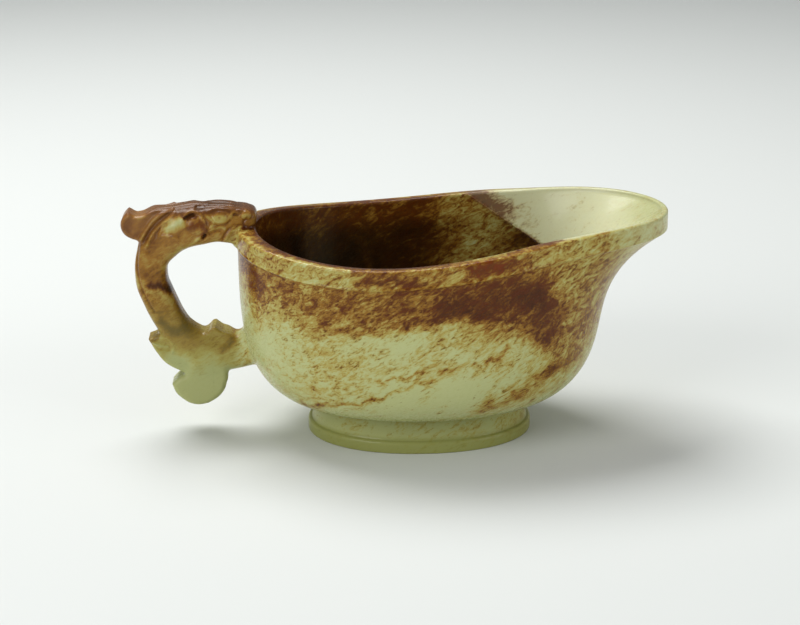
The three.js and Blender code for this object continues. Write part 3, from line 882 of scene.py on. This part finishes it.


# Stain of the stone, worked out for each point of a piece from its place, with painted highlights, a
# painted reflection, painted light and painted shade among the marks.
# A mark has a name, the places that it runs through in side view, how wide it is and how much it darkens
# the stone.

bowl_marks = [
    ("dark_patch", [(6, 50.5), (16, 53), (25, 54), (33, 53)], 4.6, 0.26),
    ("dark_heart", [(13, 49.5), (21, 50), (29, 50.5)], 2.6, 0.1),
    ("dark_edge_left", [(-30, 44.6), (-22, 43.6), (-13, 43.8), (-6, 46)], 1.2, 0.24),
    ("dark_edge_right", [(-6, 46), (2, 48), (12, 49), (22, 46.6), (29, 45)], 1.2, 0.24),
    ("under_edge", [(4, 42), (14, 42), (22, 43), (30, 42), (34, 38)], 3.4, 0.18),
    ("crack_left", [(-36, 15), (-29, 18), (-22.3, 19.3), (-15.8, 21.6)], 0.7, 0.34),
    ("crack_right", [(-15.8, 21.6), (-10.1, 24.4), (-3.5, 27.6), (2, 29.6)], 0.8, 0.3),
    ("fleck_left", [(-14, 28.6), (-7.8, 29.4), (-1, 31.6)], 0.6, 0.34),
    ("fleck_middle", [(4, 31), (9, 32.4), (14, 34)], 1, 0.26),
    ("fleck_right", [(17.6, 33.4), (20.6, 35), (24, 38)], 0.9, 0.3),
    ("left_haze", [(-34, 27), (-24, 31), (-14, 35)], 7, 0.1),
    ("low_right", [(14, 16.5), (21, 19), (29, 21.5), (35, 26), (44, 29)], 2.8, 0.26),
    ("right_haze", [(34, 27), (38, 38), (40, 46)], 7, 0.06),
    ("right_stain", [(33, 52), (35, 46), (36, 40)], 3.4, 0.16),
    # painted reflection: a pale strip up the bowl's end beside the handle
    ("flank_painted_reflection", [(-54, 53), (-54, 45), (-53, 36)], 3, -0.22),
    ("band_cluster", [(13, 62.2), (19, 62.4), (25, 62.8)], 1.5, 0.3),
    # partly ochre stain, partly painted shade on the band's end and the wall by the handle's upper root
    ("root_ochre_and_painted_shade", [(-55, 63), (-52, 58), (-50, 52)], 3.6, 0.3),
    ("band_spots", [(-20, 58.6), (-12, 59), (-4, 59.6)], 1.2, 0.24),
    ("pale_belly", [(-8, 21), (2, 22), (12, 23)], 6, -0.26),
    ("pale_gap", [(-8, 39.6), (-1, 41.6), (6, 43)], 2.6, -0.1),
    ("front_brown", [(-14, 51), (-2, 53), (8, 54)], 4.4, 0.11),
    # painted light: the lower left of the wall is made paler where the light falls
    ("lower_left_painted_light", [(-50, 34), (-44, 30), (-36, 24)], 6, -0.16),
]
handle_marks = [
    ("ring", [(-82, 48.6), (-78.6, 47.2), (-74.6, 46.6)], 1, 0.5),
    ("over_ring", [(-84, 52.4), (-80, 50.6), (-76, 49.6)], 2.4, 0.22),
    ("cheek", [(-68.4, 67.4), (-66.2, 67.6), (-65.4, 66.8)], 1.5, 0.5),
    # painted shade in the drilled pit of the throat
    ("throat", [(-65.4, 63.8), (-64.4, 65)], 0.8, 0.45),
    # painted shade in the deep carved slit behind the eye
    ("eye_corner_painted_shade", [(-71.2, 69.4), (-69.2, 70.1), (-67.6, 70)], 0.55, 0.45),
    ("low_grip", [(-78.4, 35.6), (-76, 34.4), (-72.4, 33.8)], 2, 0.26),
    ("grip_edge", [(-73.2, 42), (-71.2, 38), (-68, 34.6)], 1, 0.2),
    ("by_the_wall", [(-60.4, 27.6), (-58.6, 28.2), (-56.4, 31)], 1.1, 0.26),
    ("leaf_tip", [(-83, 30.3), (-80.6, 31)], 0.8, 0.35),
    ("tuft_end", [(-89.6, 65), (-88.6, 67.6)], 2, 0.16),
    # painted highlight on the smooth bulge of the neck
    ("neck_bulge_painted_highlight", [(-76.2, 66.4), (-74.4, 67.6), (-72.4, 68)], 1.5, -0.42),
    ("snout_shine", [(-57, 71), (-52, 71)], 1, -0.1),
    ("leaf_pale", [(-80, 28.6), (-77, 25), (-74, 22)], 3.4, -0.22),
    ("lobe_pale", [(-70, 13), (-65, 14), (-62, 18)], 6, -0.2),
]
# Where the brown of the bowl's upper wall ends: places along the bowl, and its height there
stain_edge_along = [-55, -48, -35, -24, -14, -3, 8, 22, 30, 36, 44, 60]
stain_edge_heights = [40, 42, 45, 43.6, 44, 46.4, 48.6, 45.6, 42, 36, 30, 32]


def marks_at(along, height, marks):
    total = np.zeros(len(along))
    # The marks wander a little to both sides of their lines.
    height = height + 0.55 * np.sin(0.9 * along + 0.7) + 0.12 * np.sin(6.1 * along + 1.2)
    height = height + 0.3 * np.sin(2.3 * along + 2) * np.sin(0.57 * along)
    for _, places, width, amount in marks:
        distance = nearest(along, height, spline(places, mark_steps))[0]
        total += amount * bump(distance, width)
    return total


def outer_tones(x, y, z, below):
    """Stain and redness of the outer wall and foot: stained above a wandering edge, pale below, with a
    painted reflection up the end by the handle, painted light on the lower left and painted shade by the
    handle's upper root. The far side has the marks in other places."""
    along = np.where(y < 0, x, 8 - 0.85 * x)
    edge = np.interp(along, stain_edge_along, stain_edge_heights)
    softness = 4.4 + 5 * smoothstep(along, 22, 42) + 3.5 * (1 - smoothstep(along, -44, -24))
    above_edge = smoothstep(z, edge - softness, edge + softness)
    strength = 0.38 - 0.12 * smoothstep(along, 30, 46) - 0.06 * (1 - smoothstep(along, -40, -20))
    stain = 0.21 + strength * above_edge + marks_at(along, z, bowl_marks)
    stain -= 0.1 * (1 - smoothstep(z, foot_height + 2, foot_height + 10))
    on_foot = 1 - smoothstep(z, foot_height - 2, foot_height + 1)
    stain += 0.2 * on_foot * smoothstep(x, 16, 33)
    on_band = smoothstep(-below, -band_height - 0.4, -band_height + 0.2)
    stain -= on_band * (0.08 + 0.16 * (1 - smoothstep(along, -34, -8)))
    stain -= 0.15 * smoothstep(x, 48, 70)
    red = 0.15 + 0.25 * above_edge + 0.5 * bump(along - 19, 9) * on_band
    return stain, red


def inner_tones(x, y, below, seam):
    """Stain, painted shade, cream and redness of the inner wall: a rusty strip along the top over
    dark stain that painted shade takes near black further down, mottled before the seam and clean beyond
    it."""
    in_spout = smoothstep(x, 10, 20)
    clean = np.where(y > 0, smoothstep(seam, -0.5, 0.8), smoothstep(x, 30, 40)) * in_spout
    mottled = bump(x - 19, 13) * (1 - clean)
    seam_brown = bump(seam - 1.5, 5) * (1 - smoothstep(below, 5, 14)) * in_spout
    clean_stain = 0.1 + 0.55 * seam_brown + 0.16 * bump(seam - 1, 3.5)
    stain = (0.86 - 0.5 * mottled) * (1 - clean) + clean_stain * clean
    # Painted shade: the inner wall is darkened more the further it lies below the rim, less where it is
    # mottled, and not at all beyond the seam.
    shade = 0.18 + 0.62 * smoothstep(below, 3, 11) * (1 - 0.72 * mottled)
    shade *= 1 - clean
    cream = clean * (0.9 - 0.6 * smoothstep(x, 58, 72))
    return stain, shade, cream, 0.35 + 0.3 * seam_brown


def handle_tones(x, y, z):
    """Stain, warmth, olive tint and redness of the handle: russet head, tuft and bend, a dark
    ring round the grip and a pale tail, with painted highlights on the carved ridges, the neck's bulge
    and the snout, painted shade in the carved hollows and pits, and a top darkened partly by painted
    shade."""
    stain = 0.48 + 0.13 * smoothstep(z, 56, 68)
    stain = stain - 0.12 * (1 - smoothstep(z, 22, 30)) - 0.24 * (1 - smoothstep(z, 15, 24))
    # The first added term darkens the top of the head and tuft: partly russet stain, partly painted
    # shade.
    stain = stain + 0.34 * smoothstep(z, 69.4, 71.4) + 0.1 * bump(z - 41, 5)
    stain += marks_at(x, z, handle_marks)
    # Painted highlight and painted shade: the stone is made paler over the carved ridges and darker in
    # the carved hollows.
    carved = np.clip(relief(x[:, None], z[:, None])[:, 0], -0.6, 0.8)
    stain -= 0.3 * carved * smoothstep(np.abs(y), 2, 4)
    on_tuft = smoothstep(z - 0.75 * (x + 84), 60, 66)
    warm = 0.25 * smoothstep(z, 42, 60) + 0.6 * on_tuft
    olive = 0.42 * (1 - smoothstep(z, 34, 47))
    on_cheek = bump(x + 66.5, 3) * bump(z - 67, 2.4)
    return stain, warm, olive, 0.15 + 0.7 * on_cheek


def mesh_places(mesh):
    """The mesh's points, in millimetres from the foot's centre."""
    flat = np.zeros(len(mesh.vertices) * 3)
    mesh.vertices.foreach_get("co", flat)
    places = flat.reshape(-1, 3)
    places[:, 0] -= foot_centre_x
    return places / MM


def write_tones(mesh, name, tones):
    layer = mesh.color_attributes.new(name, "FLOAT_COLOR", "POINT")
    colours = np.ones((len(mesh.vertices), 4))
    for channel, tone in enumerate(tones):
        colours[:, channel] = np.clip(tone, 0, 1.5)
    layer.data.foreach_set("color", colours.ravel())


def paint(piece):
    """Writes three colour attributes that the stone reads: stain with painted shade and cream, warmth
    with olive tint, and redness with the handle's share."""
    places = mesh_places(piece.data)
    x, y, z = places.T
    theta = np.arctan2(y, x)
    top = rim_top(theta)
    below = top - z
    # Inside the bowl, well behind the outer face.
    depth_in = outer_radius(theta, np.minimum(z, top - rim_round)) - np.hypot(x, y)
    inside = smoothstep(depth_in, 1.2, 2.2) * smoothstep(z, foot_height + 1, foot_height + 3)
    on_handle = 1 - smoothstep(x, -58.5, -54.5)
    on_handle = np.maximum(on_handle, smoothstep(z, top + 0.6, top + 1.4))
    outer_stain_and_painted_light, outer_red = outer_tones(x, y, z, below)
    inner_stain, shade, inner_cream, inner_red = inner_tones(x, y, below, seam_distance(places))
    handle_stain_and_painted_light, warm, handle_olive, handle_red = handle_tones(x, y, z)
    stain = outer_stain_and_painted_light * (1 - inside) + inner_stain * inside
    stain = stain * (1 - on_handle) + handle_stain_and_painted_light * on_handle
    # The upper root is paler where it meets the rim.
    root_pale = bump(x + 55.6, 2.4) * bump(z - 60.6, 3.6)
    stain -= root_pale * (0.1 + 0.04 * on_handle)
    cream = inside * inner_cream + (1 - inside) * 0.3 * smoothstep(x, 50, 70)
    # Painted light: the cove above the foot's band is made less olive, and so paler, to lift the shade in
    # it. Higher up, the olive ends where the bowl begins.
    olive = 1 - 0.42 * smoothstep(z, foot_band, foot_band + 1.5)
    olive -= 0.58 * smoothstep(z, foot_height - 1.5, foot_height + 4)
    olive = olive + 0.12 * smoothstep(x, 40, 60) * (1 - inside) + 0.5 * smoothstep(x, 56, 72) * inside
    olive = olive * (1 - on_handle) + on_handle * handle_olive
    red = outer_red * (1 - inside) + inside * inner_red
    red = red * (1 - on_handle) + on_handle * handle_red
    on_bowl = 1 - on_handle
    # The stain attribute's first channel also carries the painted highlights, reflection, light and shade
    # of the marks, and its second channel the painted shade of the hollow.
    write_tones(piece.data, "stain", (stain, inside * shade * on_bowl, cream * on_bowl))
    write_tones(piece.data, "tone", (warm * on_handle, olive))
    write_tones(piece.data, "rust", (red, on_handle))


# Colours of the stone and of the painted shade in its hollow, and its grain, which leans up towards the
# spout

def colour(red, green, blue):
    """An 8-bit screen colour as the linear colour that the shader wants."""
    linear = []
    for part in (red, green, blue):
        value = part / 255
        linear.append(value / 12.92 if value <= 0.04045 else ((value + 0.055) / 1.055) ** 2.4)
    return (*linear, 1)


pale_celadon = colour(186, 190, 134)
straw = colour(176, 160, 84)
honey = colour(150, 108, 38)
russet = colour(98, 58, 16)
dark_russet = colour(44, 24, 6)
red_skin = colour(124, 54, 12)
fleck_brown = colour(62, 34, 8)
# Near black of the painted shade in the bowl's hollow
painted_shade_brown = colour(16, 9, 2)
spout_cream = colour(206, 206, 168)
foot_olive = colour(138, 140, 74)
head_rose = colour(146, 102, 60)
grain_lean = math.radians(30)
grain_stretch = (2.1, 1.2, 0.8)


class Nodes:
    """Short calls for the material's node tree."""

    def __init__(self, tree):
        self.tree = tree

    def add(self, kind, inputs, **settings):
        """A node with its settings; an input is either a value or another node's output."""
        node = self.tree.nodes.new(kind)
        for name, value in settings.items():
            setattr(node, name, value)
        for name, value in inputs.items():
            if isinstance(value, bpy.types.NodeSocket):
                self.tree.links.new(value, node.inputs[name])
            else:
                node.inputs[name].default_value = value
        return node

    def plus(self, a, b):
        return self.add("ShaderNodeMath", {0: a, 1: b}).outputs[0]

    def times(self, a, b):
        return self.add("ShaderNodeMath", {0: a, 1: b}, operation="MULTIPLY").outputs[0]

    def blend(self, factor, a, b):
        inputs = {0: factor, 6: a, 7: b}
        return self.add("ShaderNodeMix", inputs, data_type="RGBA").outputs[2]

    def noise(self, vector, scale, detail, roughness, distortion=0):
        inputs = {"Vector": vector, "Scale": scale, "Detail": detail}
        inputs |= {"Roughness": roughness, "Distortion": distortion}
        return self.add("ShaderNodeTexNoise", inputs).outputs[0]

    def spread(self, value, low, high, to_low=0, to_high=1):
        inputs = {0: value, 1: low, 2: high, 3: to_low, 4: to_high}
        return self.add("ShaderNodeMapRange", inputs).outputs[0]


def read_tones(n, name):
    """The channels that write_tones wrote under a name."""
    attribute = n.add("ShaderNodeAttribute", {}, attribute_name=name)
    return n.add("ShaderNodeSeparateColor", {"Color": attribute.outputs["Color"]}).outputs


def stain_colour(n, depth):
    """From pale celadon to dark russet, by how deeply the stone is stained, moved also by the painted
    light and shade among the marks.
    """
    ramp = n.add("ShaderNodeValToRGB", {"Fac": depth})
    stops = ramp.color_ramp.elements
    for position, tint in ((0.34, straw), (0.54, honey), (0.76, russet)):
        stops.new(position).color = tint
    stops[0].position = 0.12
    stops[0].color = pale_celadon
    stops[-1].color = dark_russet
    return ramp.outputs["Color"]


def stone_colour(n, clouds, streaks, flecks):
    """The stain's zones, clouded, streaked and flecked, then tinted, and darkened by painted shade in the
    bowl's hollow.
    """
    stain, shade, cream = read_tones(n, "stain")[:3]
    warm, olive = read_tones(n, "tone")[:2]
    red, on_handle = read_tones(n, "rust")[:2]
    # The handle's stone is calmer than the bowl's.
    liveliness = n.spread(on_handle, 0, 1, 1, 0.38)
    streaking = n.spread(streaks, 0.3, 0.7, -0.24, 0.26)
    flecking = n.spread(flecks, 0.3, 0.7, -0.16, 0.16)
    depth = n.plus(stain, n.spread(clouds, 0.28, 0.72, -0.15, 0.15))
    depth = n.plus(depth, n.times(n.plus(streaking, flecking), liveliness))
    # Fine dark flecks, denser where the stone is stained, and red skin in places.
    density = n.plus(n.times(flecks, 0.6), n.times(streaks, 0.4))
    density = n.plus(density, n.times(stain, 0.13))
    fleck_mask = n.times(n.spread(density, 0.58, 0.68, 0, 0.7), liveliness)
    flecked = n.blend(fleck_mask, stain_colour(n, depth), fleck_brown)
    rusty = n.times(red, n.spread(depth, 0.45, 0.85))
    rusty = n.times(rusty, n.spread(streaks, 0.44, 0.6, 0.35, 1.15))
    reddened = n.blend(n.times(rusty, 0.8), flecked, red_skin)
    rosy = n.blend(n.times(warm, 0.6), reddened, head_rose)
    greened = n.blend(n.times(olive, 0.85), rosy, foot_olive)
    veined_cream = n.blend(n.spread(depth, 0.25, 0.75, 0, 0.85), spout_cream, reddened)
    by_cream = n.blend(cream, greened, veined_cream)
    # Painted shade: the hollow is blended towards near black.
    darkness = n.times(shade, n.spread(clouds, 0.3, 0.7, 0.8, 1.2))
    return n.blend(darkness, by_cream, painted_shade_brown)


def jade(name, roughness):
    """Polished stone. Its colour comes from the tones that paint wrote on the piece."""
    material = bpy.data.materials.new(name)
    material.use_nodes = True
    tree = material.node_tree
    tree.nodes.clear()
    n = Nodes(tree)
    place = n.add("ShaderNodeTexCoord", {}).outputs["Object"]
    leaning = {"Vector": place, "Rotation": (0, -grain_lean, 0), "Scale": grain_stretch}
    slanted = n.add("ShaderNodeMapping", leaning, vector_type="TEXTURE").outputs[0]
    clouds = n.noise(place, 60, 4, 0.6, 0.8)
    streaks = n.noise(slanted, 380, 6, 0.7, 0.9)
    flecks = n.noise(slanted, 1300, 4, 0.66, 0.6)
    grain = n.noise(place, 2600, 2, 0.5)
    height = n.plus(n.times(grain, 0.5), streaks)
    uneven = n.add("ShaderNodeBump", {"Strength": 0.06, "Distance": 0.0004, "Height": height})
    polish = {
        "Base Color": stone_colour(n, clouds, streaks, flecks),
        "Roughness": n.spread(flecks, 0.3, 0.75, roughness - 0.05, roughness + 0.12),
        "Normal": uneven.outputs[0],
        "Specular IOR Level": 0.14,
        "Subsurface Weight": 0.2,
        "Subsurface Radius": (1, 0.85, 0.45),
        "Subsurface Scale": 0.001,
        "Coat Weight": 0.12,
        "Coat Roughness": 0.08,
    }
    shader = n.add("ShaderNodeBsdfPrincipled", polish)
    n.add("ShaderNodeOutputMaterial", {"Surface": shader.outputs[0]})
    return material


def pale_paper():
    material = bpy.data.materials.new("pale_paper")
    material.use_nodes = True
    inputs = material.node_tree.nodes["Principled BSDF"].inputs
    inputs["Base Color"].default_value = colour(216, 219, 216)
    inputs["Roughness"].default_value = 0.9
    inputs["Specular IOR Level"].default_value = 0.2
    return material


# Stage, lights and camera. A light has a name, a place in metres, its width and height, and watts.

floor_front = -2500
floor_back = 1600
floor_half_width = 3000
floor_bend = 500
floor_bend_steps = 12
backdrop_height = 2600
softboxes = [
    ("overhead", (-0.25, 0.35, 0.95), (0.7, 0.6), 10.4),
    ("left_front", (-0.75, -0.75, 0.6), (0.6, 0.6), 6),
    ("right_fill", (0.9, -0.5, 0.4), (0.6, 0.6), 2.8),
]
lights_aim = (0, 0, 0.04)
room_strength = 0.3


def build_floor():
    """A pale floor that sweeps up behind the vessel."""
    profile = [(floor_front, 0), (floor_back, 0)]
    for turn in quarter_turn(floor_bend_steps)[1:]:
        rise = floor_bend * (1 - math.cos(turn))
        profile.append((floor_back + floor_bend * math.sin(turn), rise))
    profile.append((floor_back + floor_bend, backdrop_height))
    points = []
    for y, z in profile:
        points.append((-floor_half_width, y, z))
        points.append((floor_half_width, y, z))
    faces = []
    for i in range(len(profile) - 1):
        faces.append((2 * i, 2 * i + 1, 2 * i + 3, 2 * i + 2))
    floor = new_piece("floor", points, faces)
    floor.data.shade_smooth()
    floor.data.materials.append(pale_paper())


def aim(thing, place, target):
    thing.location = place
    direction = Vector(target) - Vector(place)
    thing.rotation_euler = direction.to_track_quat("-Z", "Y").to_euler()


def light_stage():
    for name, place, size, watts in softboxes:
        lamp = bpy.data.lights.new(name, "AREA")
        lamp.shape = "RECTANGLE"
        lamp.size, lamp.size_y = size
        lamp.energy = watts
        aim(add_object(name, lamp), place, lights_aim)
    world = bpy.data.worlds.new("pale_room")
    world.use_nodes = True
    inputs = world.node_tree.nodes["Background"].inputs
    inputs["Color"].default_value = colour(236, 238, 240)
    inputs["Strength"].default_value = room_strength
    bpy.context.scene.world = world


def place_camera():
    data = bpy.data.cameras.new("camera")
    data.sensor_width = sensor_width
    data.lens = focal_length
    data.shift_x = -target_offset_x / photo_width
    data.shift_y = target_offset_y / photo_width
    data.clip_end = sight_end
    camera = add_object("camera", data)
    aim(camera, *to_frame([eye_place, view_target]))
    bpy.context.scene.camera = camera


def finish_piece(piece, material, nodes):
    piece.data.materials.append(material)
    paint(piece)
    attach(piece, "root")
    if nodes:
        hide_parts(*nodes)


def smooth_below(piece, degrees):
    """Smooth shading, but for edges that turn more sharply than this."""
    piece.data.shade_smooth()
    piece.data.set_sharp_from_angle(angle=math.radians(degrees))


def build_vessel():
    celadon = jade("celadon_stone", 0.26)
    olive = jade("olive_stone", 0.3)
    stained = jade("russet_stone", 0.26)
    pale = jade("pale_stone", 0.26)
    bowl = build_bowl()
    smooth_below(bowl, 60)
    finish_piece(bowl, celadon, ["bowl"])
    seam = build_seam()
    seam.data.shade_smooth()
    finish_piece(seam, celadon, [])
    foot = build_foot()
    smooth_below(foot, 40)
    finish_piece(foot, olive, ["foot_ring"])
    for node, piece in build_handle().items():
        if node in ("dragon_head", "dragon_mane", "dragon_neck"):
            finish_piece(piece, stained, [node])
        else:
            finish_piece(piece, pale, [node])


build_vessel()
build_floor()
light_stage()
place_camera()

bpy.context.scene.view_settings.view_transform = "Standard"
bpy.context.view_layer.update()
